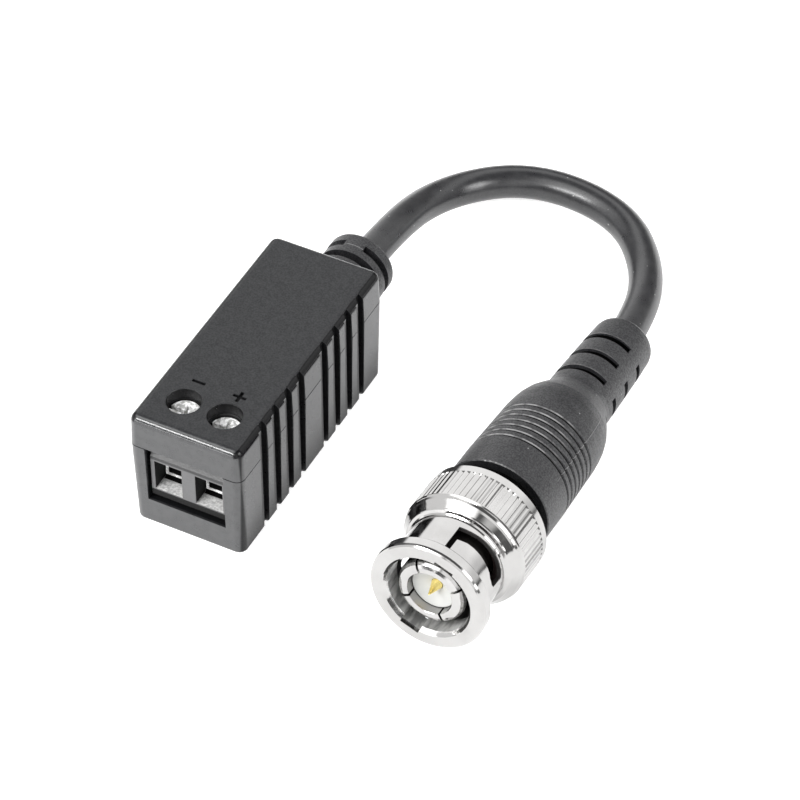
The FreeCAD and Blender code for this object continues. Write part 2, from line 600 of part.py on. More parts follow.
# ---- plug body with its four spring fingers ---------------------------------------
C, I = d.contact_radius, d.contact_bore
shell = turned("contact", [
    (2.72, 0.68), (C - 0.72, 0.68), (C - 0.36, 0.83), (C - 0.12, 1.1), (C, 1.47), (C, 8.4), (4.83, 8.4), (4.83, 10.0),
    (5.6, 10.0), (5.6, 11.02), (4.42, 11.02), (4.42, 15.95), (2.4, 15.95), (2.4, 22.45), (1.05, 22.45), (1.05, 15.95),
    (2.6, 15.85), (2.6, 8.8), (I, 8.8), (I, 2.6), (2.68, 2.2), (2.68, 0.72)])
slits = fuse("finger_slits", [spoke("slit_%d" % a, 2.0, 5.0, 0.3, -1, 6.1, a) for a in (28, 118, 208, 298)])
node(at_plug(cut("contact_cut", shell, slits)), "plug_body")
node(at_plug(turned("seal", [(C + 0.03, 7.6), (4.62, 7.6), (4.62, 8.36), (C + 0.03, 8.36)])), "plug_gasket")
node(at_plug(turned("inner", [(0.7, 2.5), (2.52, 1.8), (2.62, 1.84), (2.62, 2.75), (I - 0.06, 2.85), (I - 0.06, 8.76), (2.56, 8.76), (2.56, 15.7),
                              (0.7, 15.7)])), "plug_insulator")
P = d.pin_radius
node(at_plug(turned("pin", [(0, 0.55), (0.08, 0.58), (P - 0.03, 2.4), (P, 2.6), (P, 14.5), (0, 14.5)])), "centre_pin")
node(at_plug(turned("core_wire", [(0, 14.52), (0.28, 14.52), (0.28, LAST), (0, LAST)])), "lead_wire_plug")
node(at_plug(turned("core_sleeve", [(0.3, 15.95), (1.0, 15.95), (1.0, LAST), (0.3, LAST)])), "lead_insulation_plug")
node(at_plug(turned("braid", [(2.42, 16.55), (2.62, 16.55), (2.62, 22.65), (1.5, 24.55), (1.5, LAST), (1.03, LAST),
                              (1.03, 24.35), (2.42, 22.55)])), "lead_braid_plug")
node(at_plug(turned("crimp", [(2.65, 16.25), (3.05, 16.25), (3.05, 22.25), (2.65, 22.25)])), "crimp_ferrule")

# ---- moulded boot of the plug -------------------------------------------------------
M, MF, ME = d.mould_radius, d.mould_front, d.mould_end
outer = [(5.3, 14.45), (5.3, MF), (M - 0.12, MF), (M, MF + 0.12), (M, 20.85)]
for i in range(7):                     # seven finger-grip grooves, steep on their rear side
    z = 21.43 + i
    r = M - 0.03 * i
    outer += [(r, z - 0.46), (r - 0.27, z - 0.32), (r - 0.31, z - 0.17), (r - 0.04, z - 0.03), (r - 0.02, z + 0.03)]
outer += [(6.12, 28.3), (6.1, 29.05), (6.05, 29.5), (5.98, 30.36), (5.83, 31.34), (5.5, 32.56), (5.0, 33.68), (4.5, 34.7),
          (4.18, 35.48), (4.05, 36.25), (4.01, 38.2), (3.9, 41.7), (3.76, 45.63), (3.64, 47.83), (3.53, 48.37),
          (3.29, 48.74), (2.95, ME)]
inner = [(2.45, ME), (2.02, ME - 2.2), (2.02, LAST), (1.53, LAST), (1.53, 24.65), (3.08, 22.35), (3.08, 16.0), (4.44, 16.0),
         (4.44, 14.45)]
mould = turned("mould", outer + inner)
tools = []
for i, z0 in enumerate((37.32, 40.67, 43.95)):
    for j in (0, 1):
        a0 = 48 + 180 * j
        keep = cyl("relief_keep_%d%d" % (i, j), 2.7, 3, 0, 0, z0 - 1)
        tools.append(cut("relief_slot_%d%d" % (i, j), sector("relief_sector_%d%d" % (i, j), 5.0, z0, z0 + 0.84, a0, a0 + 149),
                         keep))
for j in (0, 1):
    keep = cyl("nick_keep_%d" % j, 4.1, 3, 0, 0, 33.4)
    tools.append(cut("nick_%d" % j, sector("nick_sector_%d" % j, 5.4, 34.2, 34.75, -12 + 180 * j, 17 + 180 * j), keep))
node(at_plug(cut("mould_cut", mould, fuse("mould_tools", tools))), "plug_boot")

# ---- the lead ---------------------------------------------------------------------------
LEAD = VALUE["lead_z"]
route = [V(0, 15.6, LEAD), V(0, 29.88, LEAD), V(0.41, 44.27, 3.15), V(8.83, 52.22, 2.59), V(21.2, 51.47, 2.19),
         V(28.93, 42.33, 2.93), plug_point(50.86), plug_point(LAST)]
print("route", [tuple(round(c, 3) for c in p) for p in route])


def tube_path(pts):
    """Straight runs joined by tangent arcs; prints each radius."""
    runs = [(pts[i + 1] - pts[i]).Length for i in range(len(pts) - 1)]
    print("runs", [round(r, 2) for r in runs])
    edges, start = [], pts[0]
    for i in range(1, len(pts) - 1):
        u = (pts[i] - pts[i - 1]).normalize()
        w = (pts[i + 1] - pts[i]).normalize()
        turn = u.getAngle(w)
        back = 0.45 * min(runs[i - 1], runs[i])
        print("turn %.1f radius %.2f" % (math.degrees(turn), back / math.tan(turn / 2)))
        a = pts[i] - u * back
        c = pts[i] + w * back
        bis = (w - u).normalize()
        r = back / math.tan(turn / 2)
        centre = pts[i] + bis * (r / math.cos(turn / 2))
        m = centre - bis * r
        edges.append(Part.LineSegment(start, a).toShape())
        edges.append(Part.Arc(a, m, c).toShape())
        start = c
    edges.append(Part.LineSegment(start, pts[-1]).toShape())
    return Part.Wire(edges)


path = tube_path(route)
rad = VALUE["lead_radius"]
ring = Part.Wire(Part.Circle(route[0], (route[1] - route[0]).normalize(), rad).toShape())
tube = path.makePipeShell([ring], True, False)
if tube.ShapeType != "Solid":
    tube = Part.Solid(tube) if tube.ShapeType == "Shell" else tube.Solids[0]
want = math.pi * rad * rad * path.Length
print("tube length %.2f volume %.2f section x length %.2f" % (path.Length, tube.Volume, want))
if abs(tube.Volume / want - 1) > 0.02:
    raise RuntimeError("lead volume is off")
o = doc.addObject("Part::Feature", "lead_tube")
o.Shape = tube
o.Placement = FreeCAD.Placement()
node(o, "coax_lead")

# ---- checks and export --------------------------------------------------------------------
doc.recompute()
bad = []
for o in doc.Objects:
    if any(w in str(t) for t in o.State for w in ("Invalid", "Error")):
        bad.append("%s %s" % (o.Name, o.State))
for o, label in NODES:
    if o.Shape.isNull() or not o.Shape.isValid() or len(o.Shape.Solids) != 1:
        bad.append("%s shape: null %s valid %s solids %d" % (
            label, o.Shape.isNull(), None if o.Shape.isNull() else o.Shape.isValid(), len(o.Shape.Solids)))
if bad:
    raise RuntimeError("; ".join(bad))
os.makedirs("parts", exist_ok=True)
for o, label in NODES:
    bb = o.Shape.BoundBox
    print("%-24s vol %8.2f  x %6.2f..%6.2f y %6.2f..%6.2f z %6.2f..%6.2f faces %d" % (
        label, o.Shape.Volume, bb.XMin, bb.XMax, bb.YMin, bb.YMax, bb.ZMin, bb.ZMax, len(o.Shape.Faces)))
    o.Shape.exportStep("parts/%s.step" % label)
print("nodes", len(NODES))
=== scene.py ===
import bpy, bmesh, math, json
import numpy as np
from mathutils import Vector, Matrix, Quaternion


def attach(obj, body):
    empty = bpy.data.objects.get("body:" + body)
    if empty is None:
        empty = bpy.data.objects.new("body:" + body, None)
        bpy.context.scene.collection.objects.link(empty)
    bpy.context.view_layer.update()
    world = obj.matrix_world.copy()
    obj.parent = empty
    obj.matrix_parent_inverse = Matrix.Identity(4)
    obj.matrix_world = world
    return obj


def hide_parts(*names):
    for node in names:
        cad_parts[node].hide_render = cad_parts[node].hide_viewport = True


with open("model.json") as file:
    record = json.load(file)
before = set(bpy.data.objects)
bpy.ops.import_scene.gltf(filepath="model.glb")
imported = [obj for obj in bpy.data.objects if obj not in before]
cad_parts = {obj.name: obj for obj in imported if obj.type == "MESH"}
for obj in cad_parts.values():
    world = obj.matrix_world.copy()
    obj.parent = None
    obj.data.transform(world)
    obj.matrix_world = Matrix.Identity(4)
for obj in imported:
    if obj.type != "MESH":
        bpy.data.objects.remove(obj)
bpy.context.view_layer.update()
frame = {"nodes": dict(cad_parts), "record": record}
SC = bpy.context.scene
COL = SC.collection
MM = 0.001
GLOW = 0.62                              # light from the floor, as from a lit table
DIM, ARCH, LEFT, OVER = 0.20, 1.72, 1.2, 3.0   # radiance of the room, the strip behind, the left and the upper panel

# ---------------------------------------------------------------- camera
AZ, EL, ROLL = math.radians(27.4922), math.radians(44.5987), math.radians(-0.3138)
back = Vector((math.sin(AZ) * math.cos(EL), -math.cos(AZ) * math.cos(EL), math.sin(EL)))
right = Vector((math.cos(AZ), math.sin(AZ), 0))
up = back.cross(right)
c, s = math.cos(ROLL), math.sin(ROLL)
cam_x = right * c + up * s
cam_y = right * -s + up * c
cam = bpy.data.objects.new("camera", bpy.data.cameras.new("camera"))
COL.objects.link(cam)
m = Matrix((cam_x, cam_y, back)).transposed().to_4x4()
m.translation = Vector((0.153648, -0.261181, 0.304919))
cam.matrix_world = m
cam.data.lens = 171.0
cam.data.sensor_width = 36.0
cam.data.clip_start = 0.01
cam.data.clip_end = 10
SC.camera = cam

# ---------------------------------------------------------------- lead
YAW, LIFT = math.radians(0.775), math.radians(4.4)
A = Vector((math.sin(YAW) * math.cos(LIFT), math.cos(YAW) * math.cos(LIFT), -math.sin(LIFT)))
S = Vector((math.cos(YAW), -math.sin(YAW), 0))
U = S.cross(A)
Q0 = Vector((30.917, -19.609, 8.388))


def plug_point(station, side=0.0, rise=0.0):
    """Millimetres behind the nut's front face, sideways and up, in metres."""
    return (Q0 + A * station + S * side + U * rise) * MM


ROUTE = [Vector(p) * MM for p in ((0, 15.6, 7.4), (0, 29.88, 7.4), (0.41, 44.27, 3.15), (8.83, 52.22, 2.59),
                                   (21.2, 51.47, 2.19), (28.93, 42.33, 2.93))]
ROUTE += [plug_point(50.86), plug_point(39.4)]
cu = bpy.data.curves.new("lead", "CURVE")
cu.dimensions = "3D"
sp = cu.splines.new("NURBS")
sp.points.add(len(ROUTE) - 1)
for pt, co in zip(sp.points, ROUTE):
    pt.co = (*co, 1.0)
    pt.radius = 0.002                    # the points carry the lead's radius, so the curve's own box is true
sp.order_u = 3
sp.use_endpoint_u = True
sp.resolution_u = 40
cu.bevel_depth = 1.0
cu.bevel_resolution = 14
cu.use_fill_caps = True
lead = bpy.data.objects.new("lead", cu)
COL.objects.link(lead)
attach(lead, "case")
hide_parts("coax_lead")


# ---------------------------------------------------------------- materials
def shader(name, color=(0.5, 0.5, 0.5), metallic=0.0, rough=0.5, spec=0.5, ior=1.5, coat=0.0, coat_rough=0.2):
    mt = bpy.data.materials.new(name)
    mt.use_nodes = True
    nt = mt.node_tree
    b = nt.nodes["Principled BSDF"]
    b.inputs["Base Color"].default_value = (*color, 1)
    b.inputs["Metallic"].default_value = metallic
    b.inputs["Roughness"].default_value = rough
    b.inputs["IOR"].default_value = ior
    b.inputs["Specular IOR Level"].default_value = spec
    b.inputs["Coat Weight"].default_value = coat
    b.inputs["Coat Roughness"].default_value = coat_rough
    return mt, nt, b


class Net:
    """Small helper for building node networks on object coordinates."""

    def __init__(self, nt):
        self.nt = nt
        co = nt.nodes.new("ShaderNodeTexCoord")
        self.at, self.facing = co.outputs["Object"], co.outputs["Normal"]

    def link(self, a, b):
        self.nt.links.new(a, b)

    def put(self, node, i, v):
        if hasattr(v, "links"):
            self.link(v, node.inputs[i])
        else:
            node.inputs[i].default_value = v

    def math(self, op, *args, clamp=False):
        n = self.nt.nodes.new("ShaderNodeMath")
        n.operation = op
        n.use_clamp = clamp
        for i, v in enumerate(args):
            self.put(n, i, v)
        return n.outputs[0]

    def along(self, axis, origin=(0, 0, 0)):
        sub = self.nt.nodes.new("ShaderNodeVectorMath")
        sub.operation = "SUBTRACT"
        self.link(self.at, sub.inputs[0])
        sub.inputs[1].default_value = origin
        dot = self.nt.nodes.new("ShaderNodeVectorMath")
        dot.operation = "DOT_PRODUCT"
        self.link(sub.outputs[0], dot.inputs[0])
        dot.inputs[1].default_value = axis
        return dot.outputs["Value"]

    def faces(self, axis):
        sep = self.nt.nodes.new("ShaderNodeSeparateXYZ")
        self.link(self.facing, sep.inputs[0])
        return sep.outputs[axis]

    def step(self, v, lo, hi, a=0.0, b=1.0):
        n = self.nt.nodes.new("ShaderNodeMapRange")
        n.interpolation_type = "SMOOTHSTEP"
        self.link(v, n.inputs["Value"])
        for k, x in (("From Min", lo), ("From Max", hi), ("To Min", a), ("To Max", b)):
            n.inputs[k].default_value = x
        return n.outputs["Result"]

    def noise(self, scale, detail=2.0, rough=0.5, stretch=None):
        n = self.nt.nodes.new("ShaderNodeTexNoise")
        n.inputs["Scale"].default_value = scale
        n.inputs["Detail"].default_value = detail
        n.inputs["Roughness"].default_value = rough
        src = self.at
        if stretch:
            mp = self.nt.nodes.new("ShaderNodeMapping")
            mp.inputs["Scale"].default_value = stretch
            self.link(src, mp.inputs["Vector"])
            src = mp.outputs["Vector"]
        self.link(src, n.inputs["Vector"])
        return n.outputs["Fac"]

    def dots(self, scale, size, soft=0.35):
        n = self.nt.nodes.new("ShaderNodeTexVoronoi")
        n.inputs["Scale"].default_value = scale
        self.link(self.at, n.inputs["Vector"])
        return self.step(n.outputs["Distance"], size * soft, size, 1.0, 0.0)

    def mix(self, fac, a, b):
        n = self.nt.nodes.new("ShaderNodeMix")
        n.data_type = "RGBA"
        self.put(n, 0, fac)
        for i, v in ((6, a), (7, b)):
            if hasattr(v, "links"):
                self.link(v, n.inputs[i])
            else:
                n.inputs[i].default_value = (*v, 1)
        return n.outputs[2]

    def bump(self, b, height, distance, strength=1.0):
        n = self.nt.nodes.new("ShaderNodeBump")
        n.inputs["Distance"].default_value = distance
        n.inputs["Strength"].default_value = strength
        self.link(height, n.inputs["Height"])
        self.link(n.outputs["Normal"], b.inputs["Normal"])


MAT = {}


def make(slot, grain=None, tint=None, **kw):
    """A finish with fine grain in its surface, roughness and colour."""
    mt, nt, b = shader(slot, **kw)
    MAT[slot] = mt
    net = Net(nt)
    if grain:
        scale, height, lo, hi = grain
        f = net.noise(scale, 3.0)
        net.bump(b, f, height)
        net.link(net.step(f, 0.25, 0.75, lo, hi), b.inputs["Roughness"])
    if tint:
        scale, other = tint
        net.link(net.mix(net.step(net.noise(scale, 3.0), 0.3, 0.7), kw["color"], other), b.inputs["Base Color"])
    return net, b


q0 = tuple(Q0 * MM)

# moulded case: near-black plastic; the top has a duller, finer texture than the walls, and is painted darker than the
# walls as painted shade
net, b = make("case_plastic", color=(0.013, 0.0135, 0.015), rough=0.34, ior=1.6)
f = net.noise(7000, 2.0)
g = net.noise(900, 3.0)
up_face = net.step(net.faces("Z"), 0.86, 0.985)
net.bump(b, f, 0.000004)
front_edge = net.math("MULTIPLY", net.step(net.faces("Z"), 0.25, 0.45), net.step(net.faces("Z"), 0.90, 0.96, 1.0, 0.0))
grainy = net.step(net.math("ADD", net.math("MULTIPLY", f, 0.6), net.math("MULTIPLY", g, 0.4)), 0.3, 0.7, 0.26, 0.36)
net.link(net.math("ADD", net.math("SUBTRACT", grainy, net.math("MULTIPLY", front_edge, 0.12)),
                  net.math("MULTIPLY", up_face, 0.12)), b.inputs["Roughness"])
net.link(net.step(net.faces("Z"), 0.86, 0.985, 1.64, 1.41), b.inputs["IOR"])
# painted light and shade: the walls and the top are lit and shaded copies of one plastic, the top painted darker
wall_lit_tone = net.mix(net.step(g, 0.35, 0.7), (0.017, 0.0175, 0.019), (0.026, 0.0265, 0.028))
top_shade_tone = net.mix(net.step(g, 0.35, 0.7), (0.010, 0.0104, 0.0116), (0.015, 0.0155, 0.0168))
# depth below the rounded outer skin: grooves, marks and wells are painted black as painted shade; the long top edges
# are painted black as a painted dark reflection
ax_, hz, hy = net.math("ABSOLUTE", net.along((1, 0, 0))), net.along((0, 0, 1)), net.along((0, 1, 0))
dx = net.math("MAXIMUM", net.math("SUBTRACT", ax_, 0.00605), 0.0)
dz = net.math("MAXIMUM", net.math("SUBTRACT", hz, 0.01475), 0.0)
depth = net.math("SUBTRACT", 0.00095, net.math("SQRT", net.math("ADD", net.math("MULTIPLY", dx, dx), net.math("MULTIPLY", dz, dz))))
sunk_shade = net.math("MULTIPLY", net.step(depth, 0.00008, 0.00022), net.step(hz, 0.0002, 0.0003))
sunk_shade = net.math("MULTIPLY", sunk_shade, net.math("MULTIPLY", net.step(hy, -0.0163, -0.0161), net.step(hy, 0.0158, 0.0160, 1.0, 0.0)))
nx_, nz_ = net.math("ABSOLUTE", net.faces("X")), net.faces("Z")
edge_dark_reflection = net.math("MULTIPLY", net.step(nx_, 0.18, 0.34), net.math("MULTIPLY", net.step(nz_, 0.14, 0.30), net.step(nz_, 0.93, 0.97, 1.0, 0.0)))
painted_black = net.math("MAXIMUM", sunk_shade, edge_dark_reflection)
net.link(net.mix(painted_black, net.mix(up_face, wall_lit_tone, top_shade_tone), (0.004, 0.004, 0.0045)), b.inputs["Base Color"])
speck = net.math("ADD", 1.0, net.math("MULTIPLY", net.step(net.noise(5200, 1.0), 0.30, 0.70, -0.22, 0.22), up_face))
net.link(net.math("MULTIPLY", net.math("SUBTRACT", 0.5, net.math("MULTIPLY", painted_black, 0.38)), speck), b.inputs["Specular IOR Level"])

# terminal block: pale frosted floors in the wire entries; the insides of the entries, the block's foot and its upper
# part are painted black as painted shade
net, b = make("terminal_plastic", color=(0.028, 0.028, 0.030), rough=0.38, ior=1.75)
f = net.noise(5000, 3.0)
net.bump(b, f, 0.000008)
hz, hy = net.along((0, 0, 1)), net.along((0, 1, 0))
low = net.math("MULTIPLY", net.step(hz, 0.00525, 0.0054, 1.0, 0.0), net.step(hz, 0.0050, 0.00512))
low = net.math("MULTIPLY", low, net.step(hy, -0.0146, -0.0136, 1.0, 0.0))
low = net.math("MULTIPLY", low, net.step(net.faces("Z"), 0.5, 0.8))
# painted shade: black inside the entries, below 5 mm and on the inner side walls
deep_shade = net.math("MULTIPLY", net.step(hy, -0.01594, -0.01584), net.step(hz, 0.0053, 0.0055))
deep_shade = net.math("MULTIPLY", deep_shade, net.step(hz, 0.0095, 0.0099, 1.0, 0.0))
tone = net.mix(net.step(f, 0.3, 0.7), (0.040, 0.040, 0.042), (0.056, 0.056, 0.058))
deep_shade = net.math("MAXIMUM", deep_shade, net.step(hz, 0.00500, 0.00508, 1.0, 0.0))
inward_shade = net.math("MULTIPLY", net.step(net.faces("X"), 0.5, 0.8), net.step(hy, -0.0158, -0.0157))
deep_shade = net.math("MAXIMUM", deep_shade, inward_shade)
tone = net.mix(deep_shade, tone, (0.004, 0.004, 0.004))
# painted shade: the block above 9.5 mm, under the case's edge, painted near-black
upper_shade = net.math("MULTIPLY", net.step(hz, 0.0095, 0.0097), 0.75)
tone = net.mix(upper_shade, tone, (0.006, 0.006, 0.006))
net.link(net.math("SUBTRACT", 0.5, net.math("MULTIPLY", net.math("MAXIMUM", deep_shade, upper_shade), 0.38)), b.inputs["Specular IOR Level"])
pale = net.mix(net.step(net.noise(3500, 4.0, 0.7), 0.35, 0.65), (0.62, 0.62, 0.61), (0.30, 0.30, 0.30))
net.link(net.mix(low, tone, pale), b.inputs["Base Color"])
net.link(net.math("ADD", net.step(f, 0.3, 0.7, 0.34, 0.44), net.math("MULTIPLY", deep_shade, 0.3)), b.inputs["Roughness"])


def rubber(slot, lines):
    net, b = make(slot, color=(0.014, 0.014, 0.0155), rough=0.4, ior=1.53)
    f = net.noise(4600, 2.0)
    g = net.noise(700, 3.0)
    h = f
    dust = net.dots(560, 0.06)
    pale = dust
    if lines:
        side, rise, st = net.along(tuple(S), q0), net.along(tuple(U), q0), net.along(tuple(A), q0)
        # parting lines: a raised ridge in the bump, painted paler along it as a painted highlight
        for ang, s0, s1 in ((32.0, 0.0205, 0.0322), (212.0, 0.0145, 0.037)):
            a_ = math.radians(ang)
            off = net.math("ADD", net.math("MULTIPLY", side, -math.sin(a_)), net.math("MULTIPLY", rise, math.cos(a_)))
            out = net.math("ADD", net.math("MULTIPLY", side, math.cos(a_)), net.math("MULTIPLY", rise, math.sin(a_)))
            ridge_and_highlight = net.math("MULTIPLY", net.step(net.math("ABSOLUTE", off), 0.00002, 0.00009, 1.0, 0.0),
                            net.step(out, 0.0, 0.002))
            ridge_and_highlight = net.math("MULTIPLY", ridge_and_highlight, net.math("MULTIPLY", net.step(st, s0 - 0.001, s0 + 0.001),
                                                       net.step(st, s1 - 0.001, s1 + 0.001, 1.0, 0.0)))
            h = net.math("ADD", h, net.math("MULTIPLY", ridge_and_highlight, 4.0))
            pale = net.math("MAXIMUM", pale, net.math("MULTIPLY", ridge_and_highlight, 0.35))
        # painted highlight: pale rims every millimetre along the grooves and at the slot lips, on the upper side only
        beat = net.math("FRACT", net.math("ADD", net.math("MULTIPLY", st, 1000.0), 0.70))
        rim_highlight = net.math("MULTIPLY", net.step(beat, 0.02, 0.06), net.step(beat, 0.08, 0.13, 1.0, 0.0))
        rim_highlight = net.math("MULTIPLY", rim_highlight, net.math("MULTIPLY", net.step(st, 0.0211, 0.0212), net.step(st, 0.0277, 0.0278, 1.0, 0.0)))
        for z0 in (38.16, 41.51, 44.79):
            lip = net.math("ABSOLUTE", net.math("SUBTRACT", st, (z0 + 0.13) * MM))
            rim_highlight = net.math("MAXIMUM", rim_highlight, net.math("MULTIPLY", net.step(lip, 0.00003, 0.00008, 1.0, 0.0), 0.5))
        rim_highlight = net.math("MULTIPLY", rim_highlight, net.step(net.math("ADD", rise, net.math("MULTIPLY", side, -0.35)), 0.0018, 0.0050))
        rim_highlight = net.math("MULTIPLY", rim_highlight, net.step(net.noise(900, 2.0), 0.35, 0.6, 0.2, 0.75))
        pale = net.math("MAXIMUM", pale, rim_highlight)
        # painted shade: the boot's front end, in the gap behind the nut, gets no pale marks and is painted black
        gap_shade = net.step(st, 0.01630, 0.01640, 1.0, 0.0)
        pale = net.math("MULTIPLY", pale, net.math("SUBTRACT", 1.0, gap_shade))
    net.bump(b, h, 0.000030 if lines else 0.000006)
    lo, hi = (0.36, 0.48) if lines else (0.27, 0.34)
    net.link(net.step(net.math("ADD", net.math("MULTIPLY", f, 0.5), net.math("MULTIPLY", g, 0.5)), 0.3, 0.7, lo, hi),
             b.inputs["Roughness"])
    ground = net.mix(net.step(g, 0.35, 0.7), (0.011, 0.011, 0.0125), (0.018, 0.018, 0.0195))
    if lines:
        # painted shade: the gap, the slot interiors and the groove floors are painted near-black
        recess_shade = net.math("MULTIPLY", gap_shade, net.step(st, 0.010, 0.011))
        reach = net.math("SQRT", net.math("ADD", net.math("MULTIPLY", side, side), net.math("MULTIPLY", rise, rise)))
        slot_shade = net.math("MULTIPLY", net.step(reach, 0.00352, 0.00360, 1.0, 0.0),
                         net.math("MULTIPLY", net.step(st, 0.0364, 0.0366), net.step(st, 0.0473, 0.0475, 1.0, 0.0)))
        skin = net.math("SUBTRACT", 0.00694, net.math("MULTIPLY", st, 0.03))
        groove_shade = net.math("MULTIPLY", net.step(net.math("SUBTRACT", skin, reach), 0.00012, 0.00024),
                          net.math("MULTIPLY", net.step(st, 0.0208, 0.0209), net.step(st, 0.0276, 0.0277, 1.0, 0.0)))
        recess_shade = net.math("MAXIMUM", recess_shade, net.math("MAXIMUM", slot_shade, groove_shade))
        pale = net.math("MULTIPLY", pale, net.math("SUBTRACT", 1.0, net.math("MAXIMUM", slot_shade, groove_shade)))
        ground = net.mix(recess_shade, ground, (0.001, 0.001, 0.001))
    # pale dust, and on the boot the painted highlights of the ridges and rims
    net.link(net.mix(pale, ground, (0.30, 0.30, 0.30)), b.inputs["Base Color"])
    lo, hi = (0.62, 1.38) if lines else (0.92, 1.08)
    speck = net.step(net.noise(5200, 1.0), 0.30, 0.70, lo, hi)
    keep = net.math("SUBTRACT", 0.5, net.math("MULTIPLY", recess_shade, 0.42)) if lines else net.math("ADD", 0.55, 0.0)
    net.link(net.math("MULTIPLY", keep, speck), b.inputs["Specular IOR Level"])


rubber("moulded_pvc", True)
rubber("lead_jacket", False)

# bright nickel: the mouth is duller and streaked; the depth behind it is painted dark, and faces turned to the front
# behind 12.5 mm are painted darker, both as painted shade
net, b = make("bright_nickel", color=(0.44, 0.435, 0.43), metallic=1.0, rough=0.12)
side, rise, st = net.along(tuple(S), q0), net.along(tuple(U), q0), net.along(tuple(A), q0)
rad = net.math("SQRT", net.math("ADD", net.math("MULTIPLY", side, side), net.math("MULTIPLY", rise, rise)))
within = net.math("MULTIPLY", net.step(rad, 0.00564, 0.00572, 1.0, 0.0), net.step(rad, 0.00386, 0.00392))
# painted shade: the bore behind 3 mm is painted near-black and made dull
inner_shade = net.math("MULTIPLY", net.step(st, 0.0026, 0.0034), within)
mouth = net.math("MULTIPLY", net.math("MULTIPLY", net.step(st, 0.0003, 0.0007), within), net.step(rad, 0.0044, 0.0046))
cloud = net.noise(260, 3.0)
fine = net.noise(2600, 2.0, stretch=(1.0, 0.25, 1.0))
streak = net.noise(900, 3.0, stretch=(1.6, 0.4, 1.6))
plain = net.mix(net.step(cloud, 0.35, 0.7), (0.415, 0.41, 0.405), (0.37, 0.365, 0.36))
plain = net.mix(mouth, plain, net.mix(net.step(streak, 0.35, 0.65), (0.62, 0.62, 0.605), (0.28, 0.28, 0.275)))
fwd = net.nt.nodes.new("ShaderNodeVectorMath")
fwd.operation = "DOT_PRODUCT"
net.link(net.facing, fwd.inputs[0])
fwd.inputs[1].default_value = tuple(-A)
# painted shade: faces turned to the front behind 12.5 mm are painted darker
ends_shade = net.math("MULTIPLY", net.step(fwd.outputs["Value"], 0.5, 0.7), net.step(st, 0.0124, 0.0126))
plain = net.mix(ends_shade, plain, (0.26, 0.26, 0.26))
net.link(net.mix(inner_shade, plain, (0.006, 0.005, 0.0045)), b.inputs["Base Color"])
net.link(net.math("SUBTRACT", net.math("SUBTRACT", 1.0, net.math("MULTIPLY", inner_shade, 0.8)), net.math("MULTIPLY", mouth, 0.35), clamp=True),
         b.inputs["Metallic"])
rough = net.math("ADD", net.step(fine, 0.3, 0.7, 0.07, 0.12), net.math("MULTIPLY", inner_shade, 0.38))
net.link(net.math("ADD", rough, net.math("MULTIPLY", mouth, 0.22)), b.inputs["Roughness"])
net.bump(b, fine, 0.0000012)

# zinc plated steel, dull and mottled
net, b = make("zinc_steel", color=(0.92, 0.92, 0.92), metallic=0.12, rough=0.35)
f = net.noise(2600, 4.0, 0.65)
net.bump(b, f, 0.000014)
net.link(net.step(f, 0.3, 0.7, 0.34, 0.5), b.inputs["Roughness"])
mottle = net.mix(net.step(net.noise(2200, 4.0), 0.40, 0.60), (1.0, 1.0, 1.0), (0.45, 0.45, 0.44))
hz, hy = net.along((0, 0, 1)), net.along((0, 1, 0))
shade = net.math("MULTIPLY", net.step(hz, 0.0100, 0.0104, 1.0, 0.0), net.step(hy, -0.01388, -0.01380))
shade = net.math("MULTIPLY", shade, net.step(hy, -0.0100, -0.0098, 1.0, 0.0))
net.link(net.mix(shade, mottle, (0.01, 0.01, 0.01)), b.inputs["Base Color"])
net.link(net.math("SUBTRACT", 0.5, net.math("MULTIPLY", shade, 0.4)), b.inputs["Specular IOR Level"])

make("gold_plate", color=(0.96, 0.80, 0.30), metallic=0.8, rough=0.2, grain=(1200, 0.0000006, 0.22, 0.28),
     tint=(500, (0.93, 0.76, 0.27)))
make("white_insulator", color=(0.43, 0.435, 0.425), rough=0.4, grain=(3000, 0.000004, 0.36, 0.46),
     tint=(400, (0.385, 0.39, 0.38)))
make("board_laminate", color=(0.03, 0.16, 0.06), rough=0.4, grain=(4000, 0.000004, 0.34, 0.46),
     tint=(1500, (0.025, 0.13, 0.05)))
make("ferrite", color=(0.05, 0.05, 0.055), rough=0.6, grain=(5000, 0.00001, 0.5, 0.7), tint=(2500, (0.035, 0.035, 0.04)))
make("enamelled_copper", color=(0.45, 0.12, 0.04), metallic=0.8, rough=0.3, grain=(3000, 0.000004, 0.25, 0.35),
     tint=(1200, (0.38, 0.10, 0.03)))
make("bare_copper", color=(0.72, 0.33, 0.16), metallic=1.0, rough=0.3, grain=(3000, 0.000004, 0.25, 0.38),
     tint=(1200, (0.62, 0.28, 0.14)))
make("tinned_braid", color=(0.6, 0.6, 0.58), metallic=1.0, rough=0.4, grain=(3000, 0.00002, 0.34, 0.5),
     tint=(2500, (0.48, 0.48, 0.46)))
make("chip_body", color=(0.10, 0.08, 0.06), rough=0.5, grain=(4000, 0.000004, 0.45, 0.55), tint=(2500, (0.08, 0.065, 0.05)))
make("arrester_body", color=(0.45, 0.10, 0.02), rough=0.3, grain=(3000, 0.000003, 0.25, 0.35), tint=(900, (0.38, 0.08, 0.02)))
make("seal_rubber", color=(0.02, 0.008, 0.007), rough=0.6, grain=(3000, 0.000006, 0.55, 0.7), tint=(900, (0.014, 0.006, 0.005)))

slots = {sp_["node"]: sp_["material_slot"] for sp_ in frame["record"]["subparts"]}
for name, o in frame["nodes"].items():
    o.data.materials.clear()
    o.data.materials.append(MAT[slots[name]])
lead.data.materials.append(MAT["lead_jacket"])

bpy.context.view_layer.update()

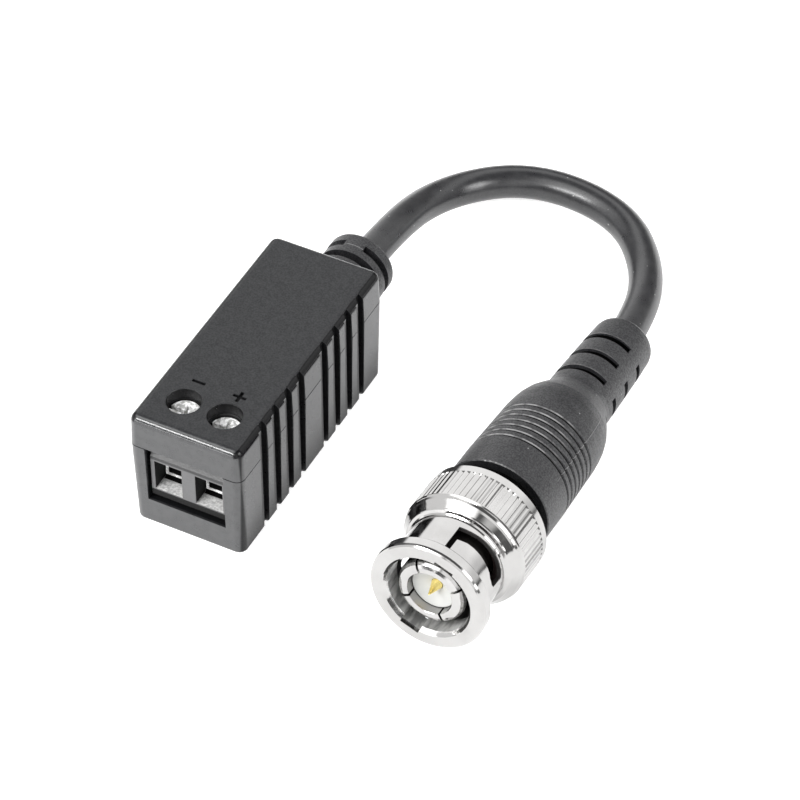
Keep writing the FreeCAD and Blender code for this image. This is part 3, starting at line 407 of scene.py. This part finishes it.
# ---------------------------------------------------------------- stage and light
me = bpy.data.meshes.new("floor")
me.from_pydata([(-2, -2, 0), (2, -2, 0), (2, 2, 0), (-2, 2, 0)], [], [(0, 1, 2, 3)])
floor = bpy.data.objects.new("floor", me)
COL.objects.link(floor)
mt, nt, b = shader("floor_white", color=(0.70, 0.70, 0.70), rough=0.9, spec=0.1)
b.inputs["Emission Color"].default_value = (1, 1, 1, 1)
b.inputs["Emission Strength"].default_value = GLOW
floor.data.materials.append(mt)

# world: a bright dome with a dim horizon and a dim patch overhead
w = bpy.data.worlds.new("world")
SC.world = w
w.use_nodes = True
wt = w.node_tree
wn = Net(wt)
wn.at = wt.nodes["Background"] and wt.nodes.new("ShaderNodeTexCoord").outputs["Generated"]


def toward(d, inner_deg, outer_deg):
    v = Vector(d).normalized()
    return wn.step(wn.along(tuple(v)), math.cos(math.radians(outer_deg)), math.cos(math.radians(inner_deg)))


def band(v, lo, hi, soft):
    return wn.math("MULTIPLY", wn.step(v, lo - soft, lo + soft), wn.step(v, hi - soft, hi + soft, 1.0, 0.0))


up_ = wn.along((0, 0, 1))
back_ = wn.along((0, 1, 0))
side_ = wn.along((1, 0, 0))
arch = wn.math("MULTIPLY", band(back_, 0.50, 0.80, 0.04), wn.step(up_, 0.02, 0.16))
arch = wn.math("MULTIPLY", arch, wn.step(side_, 0.52, 0.72, 1.0, 0.6))
left = toward((-0.78, -0.34, 0.53), 28, 40)
level = wn.math("ADD", DIM, wn.math("MULTIPLY", arch, ARCH))
level = wn.math("ADD", level, wn.math("MULTIPLY", left, LEFT))
level = wn.math("ADD", level, wn.math("MULTIPLY", toward((-0.33, -0.45, 0.83), 19, 28), OVER))
front = wn.math("MAXIMUM", toward((0.64, -0.75, 0.30), 12, 20), toward((0.36, -0.70, 0.60), 12, 22))
level = wn.math("ADD", level, wn.math("MULTIPLY", front, 1.5))
level = wn.math("ADD", level, wn.math("MULTIPLY", toward((0.82, -0.05, 0.57), 10, 18), 10.0))
wt.links.new(level, wt.nodes["Background"].inputs["Strength"])
wt.nodes["Background"].inputs["Color"].default_value = (1, 1, 1, 1)


def area(name, loc, target, size, power, size_y=None):
    ld = bpy.data.lights.new(name, "AREA")
    ld.energy = power
    ld.shape = "RECTANGLE"
    ld.size = size
    ld.size_y = size_y or size
    ob = bpy.data.objects.new(name, ld)
    COL.objects.link(ob)
    ob.location = loc
    ob.rotation_euler = (Vector(target) - Vector(loc)).to_track_quat("-Z", "Y").to_euler()
    return ob


def box(name, d, dist, size, radiance, size_y=None):
    """Soft box in a given direction from the object, with a given radiance."""
    d = Vector(d).normalized()
    mid = Vector((0.012, 0.005, 0.008))
    sy = size_y or size
    return area(name, mid + d * dist, mid, size, radiance * math.pi * size * sy, sy)


box("key", (-0.33, -0.70, 0.63), 0.6, 0.34, 24.0, 0.11)
box("low_front", (-0.45, -0.88, 0.16), 0.6, 0.40, 5.2, 0.10)
box("low_right", (0.97, -0.05, 0.20), 0.6, 0.30, 4.2, 0.10)
SC.view_settings.view_transform = "Standard"

bpy.context.view_layer.update()
